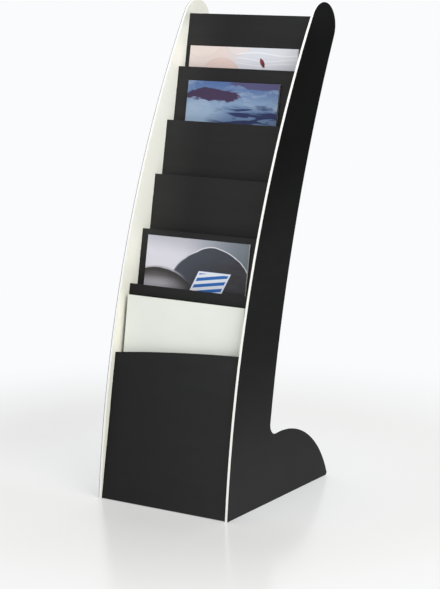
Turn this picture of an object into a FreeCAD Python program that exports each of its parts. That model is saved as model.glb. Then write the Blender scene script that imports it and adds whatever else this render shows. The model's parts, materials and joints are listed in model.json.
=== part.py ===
"""Free-standing brochure holder with six leaning pockets between two curved side boards.

Millimetres. X runs across the holder, Y from its front to its back and Z up. The origin is on the
floor, under the middle of the holder's overall box.

Each side board is a sandwich of three sheets. The panels and floors have tabs that sit in slots of the
two inner sheets, and the outer sheet covers the slots. What stands in the pockets lifts out along the
lean of the panels.
"""

import FreeCAD, Part
import math
import os

import Sketcher

# Driving sizes: alias, value and meaning. Shares have no unit.
SIZES = (
    ("overall_height", 785.0, "floor to the top of the side boards"),
    ("overall_depth", 326.0, "front corner at the floor to the rearmost point of the head"),
    ("inner_width", 235.0, "clear width between the side boards"),
    ("outer_laminate", 0.8, "thickness of the black sheet outside a side board"),
    ("core", 3.2, "thickness of the white core of a side board"),
    ("inner_laminate", 0.8, "thickness of the ivory sheet inside a side board"),
    ("laminate_lift", 0.5, "gap that keeps the laminates' lower edges off the floor"),
    ("front_edge_radius", 1707.0, "bow of the front edge"),
    ("rear_edge_radius", 2132.0, "hollow of the rear edge"),
    ("head_radius", 38.0, "rounded top"),
    ("column_share", 0.38344, "front corner to the rear edge above the foot, as a share of the depth"),
    ("notch_radius", 17.2, "inside corner between the rear edge and the foot"),
    ("heel_inset", 11.3, "rearmost point of the head to the heel's corner at the floor"),
    ("foot_height", 110.1, "top of the foot's curve"),
    ("foot_radius", 161.4, "curve of the foot"),
    ("heel_radius", 4.0, "rounded heel"),
    ("panel_lean_share", 0.43543, "slope of every panel, as a share of the depth over the height"),
    ("panel_thickness", 4.0, "front panel and pocket panels"),
    ("high_panel_drop", 21.9, "top of the side boards down to the highest panel's edge"),
    ("high_panel_setback", 15.0, "front of the head to the highest panel's edge"),
    ("low_panel_share", 0.43146, "floor to the lowest pocket panel's edge, as a share of the height"),
    ("low_pocket_room", 19.11, "front panel's back to the lowest pocket panel, square to them"),
    ("panel_line_bow", 2.5, "how far the panels' edges bow back from a straight line"),
    ("front_panel_inset", 1.5, "front corner to the front panel's foot"),
    ("front_left_height", 236.2, "front panel along its left edge"),
    ("front_right_height", 255.5, "front panel along its right edge"),
    ("front_top_radius", 2850.0, "curve of the front panel's top edge"),
    ("pocket_share", 0.22166, "top of a pocket's front wall down to its floor, as a share of the height"),
    ("floor_thickness", 3.0, "pocket floors"),
    ("tab_length", 56.0, "each tab of a panel, along the lean"),
    ("low_tab_share", 0.24, "middle of the lower tab, as a share of the panel's length"),
    ("high_tab_share", 0.76, "middle of the upper tab, as a share of the panel's length"),
    ("floor_tab_share", 0.63, "length of a pocket floor's tab, as a share of the floor's depth"),
    ("slot_clearance", 0.15, "gap round a tab in its slot"),
    ("base_lift", 6.0, "floor to the underside of the base board"),
    ("base_thickness", 6.0, "base board"),
    ("base_front_gap", 0.3, "front panel's back to the base board"),
    ("base_rear_inset", 45.0, "heel's corner to the base board's rear edge"),
    ("rail_height", 45.0, "rear rail, from the base board up"),
    ("rail_thickness", 6.0, "rear rail"),
    ("rail_tab_length", 25.0, "tab of the rear rail"),
    ("paper_gap", 0.3, "clear gap between a publication and what it stands on or leans on"),
    ("cover_sheet", 0.35, "thickness of a brochure's cover"),
    ("square_side_room", 15.0, "square brochure: side boards to its edges, when it is centred"),
    ("square_shift", -6.4, "square brochure: off the middle"),
    ("square_height", 210.0, "square brochure"),
    ("square_thickness", 2.2, "square brochure"),
    ("booklet_side_room", 31.0, "booklet: side boards to its edges, when it is centred"),
    ("booklet_shift", -7.4, "booklet: off the middle"),
    ("booklet_height", 241.0, "booklet"),
    ("booklet_thickness", 2.8, "booklet"),
    ("tall_side_room", 21.2, "tall brochure: side boards to its edges, when it is centred"),
    ("tall_shift", -8.0, "tall brochure: off the middle"),
    ("tall_height", 254.4, "tall brochure"),
    ("tall_thickness", 2.0, "tall brochure"),
    ("folder_side_room", 7.5, "folder: side boards to its edges, when it is centred"),
    ("folder_shift", -1.4, "folder: off the middle"),
    ("folder_height", 314.0, "folder"),
    ("folder_thickness", 4.4, "folder"),
    ("folder_card", 0.5, "thickness of the folder's card"),
    ("folder_sheet_margin", 5.0, "sheets inside the folder to its open edges"),
    ("folder_lean_share", 0.8683, "lean of the folder, as a share of the panels' lean"),
    ("folder_foot_gap", 0.5, "lowest pocket panel to the folder's lower edge"),
)

PANELS = 6
ACROSS = FreeCAD.Vector(1, 0, 0)

doc = FreeCAD.newDocument("BrochureHolder")


def make_sheet():
    """Puts the driving sizes in a spreadsheet, one alias to a row."""
    sheet = doc.addObject("Spreadsheet::Sheet", "Sizes")
    for row, (alias, size, meaning) in enumerate(SIZES, start=1):
        sheet.set(f"A{row}", alias)
        sheet.set(f"B{row}", str(size))
        sheet.set(f"C{row}", meaning)
        sheet.setAlias(f"B{row}", alias)
    doc.recompute()
    return sheet


make_sheet()
reader = doc.addObject("App::FeaturePython", "Reader")


def value(expression):
    """The number that an expression of the sheet's sizes gives now."""
    return float(reader.evalExpression(expression))


def bind(item, **bindings):
    """Binds properties to expressions. Two underscores in a name stand for a dot."""
    for name, expression in bindings.items():
        item.setExpression(name.replace("__", "."), expression)


# Places that several pieces share, as expressions of the sheet's sizes.
PANEL_LEAN = "atan(Sizes.panel_lean_share * Sizes.overall_depth / Sizes.overall_height)"
FOLDER_LEAN = f"({PANEL_LEAN} * Sizes.folder_lean_share)"
SIN = f"sin({PANEL_LEAN})"
COS = f"cos({PANEL_LEAN})"
TAN = f"tan({PANEL_LEAN})"
FRONT_CORNER = "(-Sizes.overall_depth / 2)"
HEEL_CORNER = "(Sizes.overall_depth / 2 - Sizes.heel_inset)"
COLUMN_SETBACK = "(Sizes.overall_depth * Sizes.column_share)"
POCKET_DEPTH = "(Sizes.overall_height * Sizes.pocket_share)"
FRONT_PANEL_FOOT = (f"({FRONT_CORNER} + Sizes.front_panel_inset)", f"Sizes.panel_thickness * {SIN}")
BASE_TOP = "(Sizes.base_lift + Sizes.base_thickness)"
INNER_FACE = "(Sizes.inner_width / 2)"
TAB_REACH = "(Sizes.inner_laminate + Sizes.core - Sizes.slot_clearance)"


def leaned(start, back="0", up="0", lean=PANEL_LEAN):
    """The place that lies so far back and up from start, measured square to and along a lean."""
    y, z = start
    sine, cosine = f"sin({lean})", f"cos({lean})"
    return (f"({y} + ({back}) * {cosine} + ({up}) * {sine})",
            f"({z} - ({back}) * {sine} + ({up}) * {cosine})")


def between_ends(low, high, share):
    """The place at a share of the way from low to high."""
    return f"({low} + ({high} - {low}) * {share})"


def panel_edge(number):
    """Middle of the top front edge of a pocket panel. Number 1 is the highest."""
    share = (PANELS - number) / (PANELS - 1)
    foot_y, foot_z = FRONT_PANEL_FOOT
    low_z = "(Sizes.overall_height * Sizes.low_panel_share)"
    low_y = (f"({foot_y} + (Sizes.panel_thickness + Sizes.low_pocket_room) / {COS}"
             f" + ({low_z} - {foot_z}) * {TAN})")
    high_z = "(Sizes.overall_height - Sizes.high_panel_drop)"
    high_y = "(Sizes.overall_depth / 2 - 2 * Sizes.head_radius + Sizes.high_panel_setback)"
    bow = f"Sizes.panel_line_bow * 4 * {share} * (1 - {share})"
    return f"({between_ends(low_y, high_y, share)} + {bow})", between_ends(low_z, high_z, share)


def steps_between(number):
    """How far pocket panel number lies behind and above the one in front of it, square to the lean."""
    y_high, z_high = panel_edge(number)
    y_low, z_low = panel_edge(number + 1)
    back = f"(({y_high} - {y_low}) * {COS} - ({z_high} - {z_low}) * {SIN})"
    up = f"(({y_high} - {y_low}) * {SIN} + ({z_high} - {z_low}) * {COS})"
    return back, up


def floor_edge(number):
    """Middle of the top front edge of a pocket floor, on the back of the panel in front of it."""
    return leaned(panel_edge(number + 1), "Sizes.panel_thickness", f"-{POCKET_DEPTH}")


# Sketch helpers


def new_body(label):
    body = doc.addObject("PartDesign::Body", label)
    body.Label = label
    return body


def new_sketch(body, name, plane):
    """A sketch on one of the body's own origin planes."""
    sketch = body.newObject("Sketcher::SketchObject", name)
    support = next(item for item in body.Origin.OriginFeatures if item.Role == plane)
    sketch.AttachmentSupport = [(support, "")]
    sketch.MapMode = "FlatFace"
    return sketch


def point(across, up):
    """A sketch point from two expressions."""
    return FreeCAD.Vector(value(across), value(up), 0)


def dimension(sketch, name, kind, *items, by):
    """A named dimension that is bound to an expression."""
    index = sketch.addConstraint(Sketcher.Constraint(kind, *items, value(by)))
    sketch.renameConstraint(index, name)
    sketch.setExpression(f"Constraints.{name}", by)


def add_rectangle(sketch, name, left, bottom, width, height):
    """A rectangle whose lower left corner, width and height are bound to expressions."""
    corners = [point(left, bottom), point(f"{left} + {width}", bottom),
               point(f"{left} + {width}", f"{bottom} + {height}"), point(left, f"{bottom} + {height}")]
    first = sketch.GeometryCount
    for start, end in zip(corners, corners[1:] + corners[:1]):
        sketch.addGeometry(Part.LineSegment(start, end))
    low, right, high, left_side = range(first, first + len(corners))
    for one, other in ((low, right), (right, high), (high, left_side), (left_side, low)):
        sketch.addConstraint(Sketcher.Constraint("Coincident", one, 2, other, 1))
    for line in (low, high):
        sketch.addConstraint(Sketcher.Constraint("Horizontal", line))
    for line in (right, left_side):
        sketch.addConstraint(Sketcher.Constraint("Vertical", line))
    dimension(sketch, f"{name}_left", "DistanceX", -1, 1, low, 1, by=left)
    dimension(sketch, f"{name}_bottom", "DistanceY", -1, 1, low, 1, by=bottom)
    dimension(sketch, f"{name}_width", "DistanceX", low, 1, low, 2, by=width)
    dimension(sketch, f"{name}_height", "DistanceY", right, 1, right, 2, by=height)


def add_pad(body, sketch, name, length, backwards=False):
    pad = body.newObject("PartDesign::Pad", name)
    pad.Profile = sketch
    pad.Reversed = backwards
    bind(pad, Length=length)
    return pad


def place(item, y, z, lean, x="0"):
    """Moves an item to a place, and leans it back where a lean is given."""
    if lean:
        item.Placement = FreeCAD.Placement(FreeCAD.Vector(), FreeCAD.Rotation(ACROSS, -value(lean)))
        bind(item, Placement__Rotation__Angle=f"-{lean}")
    bind(item, Placement__Base__x=x, Placement__Base__y=y, Placement__Base__z=z)


# Side boards


def circles_meet(first, first_radius, second, second_radius, side):
    """The point where two circles meet, on the left (1) or right (-1) of the line between them."""
    apart = second - first
    along = (apart.Length ** 2 + first_radius ** 2 - second_radius ** 2) / (2 * apart.Length)
    off = math.sqrt(first_radius ** 2 - along ** 2)
    unit = apart.normalize()
    return first + unit * along + FreeCAD.Vector(-unit.y, unit.x, 0) * off * side


def side_outline(sketch, lift):
    """Outline of a side board, with its lower edge raised by lift: six arcs that run into each other."""
    corner = point(FRONT_CORNER, "0")
    heel_corner = point(HEEL_CORNER, "0")
    rear_mark = point(f"{FRONT_CORNER} + {COLUMN_SETBACK}", "Sizes.foot_height")
    base_height = value(lift)
    front_r = value("Sizes.front_edge_radius")
    rear_r = value("Sizes.rear_edge_radius")
    head_r = value("Sizes.head_radius")
    notch_r = value("Sizes.notch_radius")
    foot_r = value("Sizes.foot_radius")
    heel_r = value("Sizes.heel_radius")

    head = point("Sizes.overall_depth / 2 - Sizes.head_radius", "Sizes.overall_height - Sizes.head_radius")
    front = circles_meet(corner, front_r, head, front_r - head_r, -1)
    rear = circles_meet(rear_mark, rear_r, head, rear_r + head_r, -1)
    foot_drop = value("Sizes.foot_height") - foot_r
    foot = FreeCAD.Vector(heel_corner.x - math.sqrt(foot_r ** 2 - foot_drop ** 2), foot_drop, 0)
    notch = circles_meet(foot, foot_r + notch_r, rear, rear_r - notch_r, 1)
    heel_up = base_height + heel_r
    heel = FreeCAD.Vector(foot.x + math.sqrt((foot_r - heel_r) ** 2 - (heel_up - foot.y) ** 2), heel_up, 0)

    toe = FreeCAD.Vector(front.x - math.sqrt(front_r ** 2 - (base_height - front.y) ** 2), base_height, 0)
    head_front = front + (head - front).normalize() * front_r
    head_rear = head + (rear - head).normalize() * head_r
    notch_top = rear + (notch - rear).normalize() * rear_r
    notch_end = foot + (notch - foot).normalize() * foot_r
    heel_top = foot + (heel - foot).normalize() * foot_r
    heel_end = FreeCAD.Vector(heel.x, base_height, 0)

    def add_arc(centre, radius, start, end):
        """An arc that runs anticlockwise from start to end."""
        circle = Part.Circle(centre, FreeCAD.Vector(0, 0, 1), radius)
        return sketch.addGeometry(Part.ArcOfCircle(circle, circle.parameter(start), circle.parameter(end)))

    front_arc = add_arc(front, front_r, head_front, toe)
    head_arc = add_arc(head, head_r, head_rear, head_front)
    rear_arc = add_arc(rear, rear_r, head_rear, notch_top)
    notch_arc = add_arc(notch, notch_r, notch_top, notch_end)
    foot_arc = add_arc(foot, foot_r, heel_top, notch_end)
    heel_arc = add_arc(heel, heel_r, heel_end, heel_top)
    base = sketch.addGeometry(Part.LineSegment(toe, heel_end))
    marks = [sketch.addGeometry(Part.Point(mark), True) for mark in (corner, heel_corner, rear_mark)]

    joints = ((front_arc, 1, head_arc, 2), (head_arc, 1, rear_arc, 1), (rear_arc, 2, notch_arc, 1),
              (notch_arc, 2, foot_arc, 2), (foot_arc, 1, heel_arc, 2), (heel_arc, 1, base, 2))
    for joint in joints:
        sketch.addConstraint(Sketcher.Constraint("Tangent", *joint))
    sketch.addConstraint(Sketcher.Constraint("Coincident", base, 1, front_arc, 2))
    sketch.addConstraint(Sketcher.Constraint("Horizontal", base))
    for mark, arc in zip(marks, (front_arc, foot_arc, rear_arc)):
        sketch.addConstraint(Sketcher.Constraint("PointOnObject", mark, 1, arc))
    dimension(sketch, "corner_across", "DistanceX", -1, 1, marks[0], 1, by=FRONT_CORNER)
    dimension(sketch, "heel_across", "DistanceX", -1, 1, marks[1], 1, by=HEEL_CORNER)
    for mark in marks[:2]:
        sketch.addConstraint(Sketcher.Constraint("PointOnObject", mark, 1, -1))
    dimension(sketch, "column_setback", "DistanceX", marks[0], 1, marks[2], 1, by=COLUMN_SETBACK)
    dimension(sketch, "mark_height", "DistanceY", -1, 1, marks[2], 1, by="Sizes.foot_height")
    dimension(sketch, "lift", "DistanceY", -1, 1, base, 1, by=lift)
    dimension(sketch, "head_across", "DistanceX", -1, 1, head_arc, 3,
              by="Sizes.overall_depth / 2 - Sizes.head_radius")
    dimension(sketch, "head_height", "DistanceY", -1, 1, head_arc, 3,
              by="Sizes.overall_height - Sizes.head_radius")
    dimension(sketch, "foot_level", "DistanceY", -1, 1, foot_arc, 3,
              by="Sizes.foot_height - Sizes.foot_radius")
    for name, arc in (("front_edge_radius", front_arc), ("head_radius", head_arc),
                      ("rear_edge_radius", rear_arc), ("notch_radius", notch_arc),
                      ("foot_radius", foot_arc), ("heel_radius", heel_arc)):
        dimension(sketch, name, "Radius", arc, by=f"Sizes.{name}")


def side_layer(label, thickness, inner_offset, lift, on_left):
    """One sheet of a side board. The inner offset is measured out from the side board's inner face."""
    body = new_body(label)
    sketch = new_sketch(body, f"{label}_outline", "YZ_Plane")
    side_outline(sketch, lift)
    add_pad(body, sketch, f"{label}_sheet", thickness)
    if on_left:
        bind(body, Placement__Base__x=f"-{INNER_FACE} - {inner_offset} - {thickness}")
    else:
        bind(body, Placement__Base__x=f"{INNER_FACE} + {inner_offset}")
    return body


# Panels, floors, base and rail


def tabbed_plate(label, plane, place_at, start, length, thickness, lean, strips, outline=None):
    """A plate between the side boards, with tabs on both ends and slots for them.

    It is drawn on the XZ plane with its front face at the given place, or on the XY plane with its top
    front edge there. It starts so far up or back from the place. strips is a list of (middle, length),
    measured along the plate from its start.
    """
    body = new_body(label)
    face = new_sketch(body, f"{label}_face", plane)
    if outline:
        outline(face)
    else:
        add_rectangle(face, "face", f"-{INNER_FACE}", start, "Sizes.inner_width", length)
    add_pad(body, face, f"{label}_plate", thickness, backwards=True)
    tabs = new_sketch(body, f"{label}_tab_strips", plane)
    for number, (middle, strip) in enumerate(strips, start=1):
        low = f"({start} + {middle} - {strip} / 2)"
        add_rectangle(tabs, f"strip_{number}", f"-({INNER_FACE} + {TAB_REACH})", low,
                      f"2 * ({INNER_FACE} + {TAB_REACH})", strip)
        if plane == "XZ_Plane":
            add_slot(f"{label}_slot_{number}", place_at, "0", low, thickness, strip, lean)
        else:
            add_slot(f"{label}_slot_{number}", place_at, low, f"-{thickness}", strip, thickness, lean)
    add_pad(body, tabs, f"{label}_tabs", thickness, backwards=True)
    place(body, *place_at, lean)


slots = []


def add_slot(name, place_at, back, up, depth, height, lean):
    """A bar through both side boards, a clearance larger all round than the tabs that it makes room for."""
    bar = doc.addObject("Part::Box", name)
    half = f"({INNER_FACE} + Sizes.inner_laminate + Sizes.core)"
    bind(bar, Length=f"2 * {half}", Width=f"{depth} + 2 * Sizes.slot_clearance",
         Height=f"{height} + 2 * Sizes.slot_clearance")
    back = f"{back} - Sizes.slot_clearance"
    up = f"{up} - Sizes.slot_clearance"
    if lean:
        y, z = leaned(place_at, back, up, lean)
    else:
        y, z = f"{place_at[0]} + {back}", f"{place_at[1]} + {up}"
    place(bar, y, z, lean, x=f"-{half}")
    slots.append(bar)


def two_tabs(length):
    """The two tab strips of a plate of the given length."""
    return [(f"{length} * Sizes.low_tab_share", "Sizes.tab_length"),
            (f"{length} * Sizes.high_tab_share", "Sizes.tab_length")]


def make_pocket_panel(number):
    """A pocket panel, from its top edge down to the floor of its own pocket."""
    if number < PANELS:
        _, up = steps_between(number)
        length = f"({up} + {POCKET_DEPTH} + Sizes.floor_thickness)"
    else:
        _, z = panel_edge(number)
        length = f"(({z} - {BASE_TOP} - Sizes.panel_thickness * {SIN}) / {COS})"
    tabbed_plate(f"pocket_panel_{number}", "XZ_Plane", panel_edge(number), f"-{length}", length,
                 "Sizes.panel_thickness", PANEL_LEAN, two_tabs(length))


def make_pocket_floor(number):
    """The floor of a pocket, between its own panel and the back of the next one."""
    back, _ = steps_between(number)
    depth = f"({back} - Sizes.panel_thickness)"
    strip = (f"{depth} / 2", f"({depth} * Sizes.floor_tab_share)")
    tabbed_plate(f"pocket_floor_{number}", "XY_Plane", floor_edge(number), "0", depth,
                 "Sizes.floor_thickness", PANEL_LEAN, [strip])


def front_outline(sketch):
    """The front panel's outline: three straight edges and a shallow curve that rises to the right."""
    left, right = f"-{INNER_FACE}", INNER_FACE
    low_left, low_right = point(left, "0"), point(right, "0")
    high_left, high_right = point(left, "Sizes.front_left_height"), point(right, "Sizes.front_right_height")
    radius = value("Sizes.front_top_radius")
    centre = circles_meet(high_left, radius, high_right, radius, -1)
    circle = Part.Circle(centre, FreeCAD.Vector(0, 0, 1), radius)
    base = sketch.addGeometry(Part.LineSegment(low_left, low_right))
    right_edge = sketch.addGeometry(Part.LineSegment(low_right, high_right))
    curve = sketch.addGeometry(Part.ArcOfCircle(circle, circle.parameter(high_right),
                                                circle.parameter(high_left)))
    left_edge = sketch.addGeometry(Part.LineSegment(high_left, low_left))
    for one, other in ((base, right_edge), (right_edge, curve), (curve, left_edge), (left_edge, base)):
        sketch.addConstraint(Sketcher.Constraint("Coincident", one, 2, other, 1))
    sketch.addConstraint(Sketcher.Constraint("PointOnObject", base, 1, -1))
    sketch.addConstraint(Sketcher.Constraint("Horizontal", base))
    sketch.addConstraint(Sketcher.Constraint("Vertical", right_edge))
    sketch.addConstraint(Sketcher.Constraint("Vertical", left_edge))
    dimension(sketch, "left", "DistanceX", -1, 1, base, 1, by=left)
    dimension(sketch, "width", "DistanceX", base, 1, base, 2, by="Sizes.inner_width")
    dimension(sketch, "right_height", "DistanceY", right_edge, 1, right_edge, 2,
              by="Sizes.front_right_height")
    dimension(sketch, "left_height", "DistanceY", left_edge, 2, left_edge, 1,
              by="Sizes.front_left_height")
    dimension(sketch, "top_radius", "Radius", curve, by="Sizes.front_top_radius")


def make_front_panel():
    """The front panel, which stands on the floor on the lower edge of its back."""
    tabbed_plate("front_panel", "XZ_Plane", FRONT_PANEL_FOOT, "0", "Sizes.front_left_height",
                 "Sizes.panel_thickness", PANEL_LEAN, two_tabs("Sizes.front_left_height"),
                 outline=front_outline)


def make_base():
    """The base board and the rear rail that stands on its rear end."""
    front = (f"({FRONT_PANEL_FOOT[0]} + Sizes.panel_thickness / {COS}"
             f" + {BASE_TOP} * {TAN} + Sizes.base_front_gap)")
    rear = f"({HEEL_CORNER} - Sizes.base_rear_inset)"
    depth = f"({rear} - {front})"
    tabbed_plate("base_board", "XY_Plane", (front, BASE_TOP), "0", depth, "Sizes.base_thickness", None,
                 two_tabs(depth))
    strip = ("Sizes.rail_height / 2", "Sizes.rail_tab_length")
    tabbed_plate("rear_rail", "XZ_Plane", (f"({rear} - Sizes.rail_thickness)", BASE_TOP), "0",
                 "Sizes.rail_height", "Sizes.rail_thickness", None, [strip])


# Publications


def publication(name, size, place_at, sheet, insides, lean=PANEL_LEAN, margin="0"):
    """A folded cover with its fold on the left, and the sheets inside it.

    Its sizes start with the word size. The place is the middle of the lower front edge, and sheet is
    the thickness of the cover. The margin is from the sheets to the cover's open edges.
    """
    height, thickness = f"Sizes.{size}_height", f"Sizes.{size}_thickness"
    width = f"(Sizes.inner_width - 2 * Sizes.{size}_side_room)"
    left = f"(Sizes.{size}_shift - {width} / 2)"
    cover = new_body(f"{name}_cover")
    fold = new_sketch(cover, f"{name}_fold", "XY_Plane")
    corners = [(left, "0"), (f"{left} + {width}", "0"), (f"{left} + {width}", sheet),
               (f"{left} + {sheet}", sheet), (f"{left} + {sheet}", f"{thickness} - {sheet}"),
               (f"{left} + {width}", f"{thickness} - {sheet}"), (f"{left} + {width}", thickness),
               (left, thickness)]
    points = [point(*corner) for corner in corners]
    for start, end in zip(points, points[1:] + points[:1]):
        fold.addGeometry(Part.LineSegment(start, end))
    for line in range(len(points)):
        fold.addConstraint(Sketcher.Constraint("Coincident", line, 2, (line + 1) % len(points), 1))
        kind = "Vertical" if line % 2 else "Horizontal"
        fold.addConstraint(Sketcher.Constraint(kind, line))
    fold.addConstraint(Sketcher.Constraint("PointOnObject", 0, 1, -1))
    fold.addConstraint(Sketcher.Constraint("Equal", 0, 6))
    fold.addConstraint(Sketcher.Constraint("Equal", 1, 5))
    dimension(fold, "left", "DistanceX", -1, 1, 0, 1, by=left)
    dimension(fold, "width", "DistanceX", 0, 1, 0, 2, by=width)
    dimension(fold, "sheet", "DistanceY", 1, 1, 1, 2, by=sheet)
    dimension(fold, "spine", "DistanceX", 0, 1, 2, 2, by=sheet)
    dimension(fold, "thickness", "DistanceY", 0, 1, 6, 2, by=thickness)
    add_pad(cover, fold, f"{name}_leaves", height)
    place(cover, *place_at, lean)

    pages = new_body(f"{name}_{insides}")
    block = new_sketch(pages, f"{name}_block", "XY_Plane")
    add_rectangle(block, "block", f"{left} + {sheet}", sheet, f"{width} - {sheet} - {margin}",
                  f"({thickness} - 2 * {sheet})")
    add_pad(pages, block, f"{name}_stack", f"{height} - {margin}")
    place(pages, *place_at, lean)


def stand_on_floor(number, thickness):
    """Lower front edge of a publication that leans on panel number and stands on its floor."""
    back, _ = steps_between(number)
    inset = f"({back} - Sizes.panel_thickness - Sizes.paper_gap - {thickness})"
    return leaned(floor_edge(number), inset, "Sizes.paper_gap")


def stand_on_base(thickness):
    """Lower front edge of the folder, whose lower back edge is just clear of the base and the panel."""
    y, z = panel_edge(PANELS)
    low = f"({BASE_TOP} + Sizes.paper_gap)"
    back_edge = (f"({y} + ({low} - {z}) * {TAN} - Sizes.folder_foot_gap)", low)
    return leaned(back_edge, f"-{thickness}", lean=FOLDER_LEAN)


def make_publications():
    for name, size, pocket in (("square_brochure", "square", 1), ("booklet", "booklet", 2),
                               ("tall_brochure", "tall", 5)):
        publication(name, size, stand_on_floor(pocket, f"Sizes.{size}_thickness"), "Sizes.cover_sheet",
                    "pages")
    publication("folder", "folder", stand_on_base("Sizes.folder_thickness"), "Sizes.folder_card", "sheets",
                lean=FOLDER_LEAN, margin="Sizes.folder_sheet_margin")


def cut_slots(label, blank, bars):
    """A side board's sheet with the slots cut in it."""
    blank.Label = f"{label}_blank"
    cut = doc.addObject("Part::Cut", label)
    cut.Label = label
    cut.Base = blank
    cut.Tool = bars


def make_side_boards():
    """Both side boards, after every piece that needs slots in them."""
    bars = doc.addObject("Part::Compound", "slot_bars")
    bars.Links = slots
    inner, core, outer = "Sizes.inner_laminate", "Sizes.core", "Sizes.outer_laminate"
    for side in ("left", "right"):
        on_left = side == "left"
        ivory = side_layer(f"{side}_ivory", inner, "0", "Sizes.laminate_lift", on_left)
        white = side_layer(f"{side}_white", core, inner, "0", on_left)
        side_layer(f"{side}_outer_laminate", outer, f"({inner} + {core})", "Sizes.laminate_lift", on_left)
        cut_slots(f"{side}_inner_laminate", ivory, bars)
        cut_slots(f"{side}_core", white, bars)


NODES = (["left_outer_laminate", "left_core", "left_inner_laminate", "right_inner_laminate", "right_core",
          "right_outer_laminate", "front_panel", "base_board", "rear_rail"]
         + [f"pocket_panel_{number}" for number in range(1, PANELS + 1)]
         + [f"pocket_floor_{number}" for number in range(1, PANELS)]
         + ["square_brochure_cover", "square_brochure_pages", "booklet_cover", "booklet_pages",
            "tall_brochure_cover", "tall_brochure_pages", "folder_cover", "folder_sheets"])


def check_and_export():
    """Stops on any failed object or shape, then writes one file for each node."""
    for item in doc.Objects:
        if "Invalid" in item.State or "Error" in item.State:
            raise RuntimeError(f"{item.Label} failed: {item.State}")
    os.makedirs("parts", exist_ok=True)
    for node in NODES:
        item = doc.getObjectsByLabel(node)[0]
        if item.Shape.isNull() or not item.Shape.isValid():
            raise RuntimeError(f"{node} has no valid shape")
    for node in NODES:
        item = doc.getObjectsByLabel(node)[0]
        item.Shape.exportStep(f"parts/{node}.step")
        print(node, round(item.Shape.Volume, 1), len(item.Shape.Solids))


make_front_panel()
for panel in range(1, PANELS + 1):
    make_pocket_panel(panel)
for panel in range(1, PANELS):
    make_pocket_floor(panel)
make_base()
make_publications()
make_side_boards()
doc.recompute()
check_and_export()
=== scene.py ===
"""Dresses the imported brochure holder: boards, printed matter, a plain studio and the camera.

Metres throughout. X runs across the holder, Y from its front to its back and Z up. Sizes and places of
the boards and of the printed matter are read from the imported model.
"""

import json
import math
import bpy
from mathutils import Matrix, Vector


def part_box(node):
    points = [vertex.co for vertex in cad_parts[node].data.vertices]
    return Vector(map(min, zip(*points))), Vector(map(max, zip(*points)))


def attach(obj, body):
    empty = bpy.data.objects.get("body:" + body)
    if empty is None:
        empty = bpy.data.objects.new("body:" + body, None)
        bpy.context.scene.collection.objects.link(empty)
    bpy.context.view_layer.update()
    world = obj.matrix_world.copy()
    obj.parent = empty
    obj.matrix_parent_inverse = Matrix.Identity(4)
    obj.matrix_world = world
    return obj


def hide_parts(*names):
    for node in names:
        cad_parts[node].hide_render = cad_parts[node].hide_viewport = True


bl_info = {
    "name": "Brochure Holder",
    "version": (1, 0, 0),
    "blender": (4, 5, 0),
    "location": "3D View > Sidebar > Holder",
    "description": "Builds and finishes a leaning brochure holder with what stands in it",
    "category": "Add Mesh",
}

import bmesh
import bpy
from bpy.props import FloatProperty, FloatVectorProperty, IntProperty, PointerProperty
from mathutils import Euler, Matrix, Vector

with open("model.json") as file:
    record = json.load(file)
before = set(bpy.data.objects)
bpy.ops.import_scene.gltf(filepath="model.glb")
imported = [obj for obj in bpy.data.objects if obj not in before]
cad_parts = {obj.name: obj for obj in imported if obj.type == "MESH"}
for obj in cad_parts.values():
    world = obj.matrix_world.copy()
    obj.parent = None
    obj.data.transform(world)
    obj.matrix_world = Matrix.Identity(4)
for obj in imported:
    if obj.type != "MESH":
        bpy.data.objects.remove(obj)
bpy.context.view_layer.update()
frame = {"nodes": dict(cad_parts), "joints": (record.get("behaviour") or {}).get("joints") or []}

SHEET_MAP = "Sheet"
MERGE_DISTANCE = 1e-6
ROUNDED_FACE_AREA = 3.0e-6
EDGE_SEGMENTS = 3
EDGE_ANGLE, FLAT_ANGLE, SHARP_ANGLE = math.radians(35), math.radians(0.5), math.radians(40)
LIFTS = {joint["child"]: Vector(joint["axis"]) for joint in frame["joints"]}
PANEL_LEAN = math.atan2(LIFTS["booklet"].y, LIFTS["booklet"].z)
FOLDER_LEAN = math.atan2(LIFTS["folder"].y, LIFTS["folder"].z)


# Sizes and colours that a user would change


def length(name, description, default):
    return FloatProperty(name=name, description=description, default=default, min=0.0,
                         precision=5, unit="LENGTH")


def share(name, description, default, highest=1.0):
    return FloatProperty(name=name, description=description, default=default, min=0.0, max=highest,
                         subtype="FACTOR")


def colour(name, description, default):
    return FloatVectorProperty(name=name, description=description, default=default, min=0.0, max=1.0,
                               size=3, subtype="COLOR")


class BoardSettings(bpy.types.PropertyGroup):
    edge_rounding: length("Edge rounding", "Radius on the edges of the panels", 0.0005)
    laminate_rounding: length("Laminate rounding", "Radius on the edges of the outer laminates", 0.0002)
    laminate_black: colour("Laminate black", "Outer face of the side boards", (0.0085, 0.0085, 0.0087))
    panel_black: colour("Panel black", "Panels, floors, base board and rail", (0.0088, 0.0088, 0.0088))
    ivory: colour("Ivory", "Inner face of the side boards", (0.92, 0.92, 0.835))
    core_white: colour("Core white", "Cut edge of the side boards", (0.90, 0.90, 0.89))
    black_roughness: share("Black roughness", "Middle roughness of the black faces", 0.50)
    # Painted light: below this height the side boards' black is made patchily paler, as if lit from the
    # floor.
    painted_foot_height: length("Painted foot height", "How far up the side boards are scuffed and dusty", 0.30)
    # Painted shade: above this height the ivory faces are made darker.
    painted_shade_height: length("Painted shade height", "Height above which the ivory faces are greyed by hands", 0.745)
    grain: length("Grain", "Size of the fine texture in the black faces", 0.0011)
    tab_length: length("Tab length", "Each tab of a panel or of the base board", 0.056)
    low_tab: share("Low tab", "Middle of the lower tab, as a share of the board's length", 0.24)
    high_tab: share("High tab", "Middle of the upper tab, as a share of the board's length", 0.76)
    floor_tab: share("Floor tab", "Tab of a pocket floor, as a share of the floor's depth", 0.63)
    rail_tab: length("Rail tab", "Tab of the rear rail", 0.025)


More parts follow.
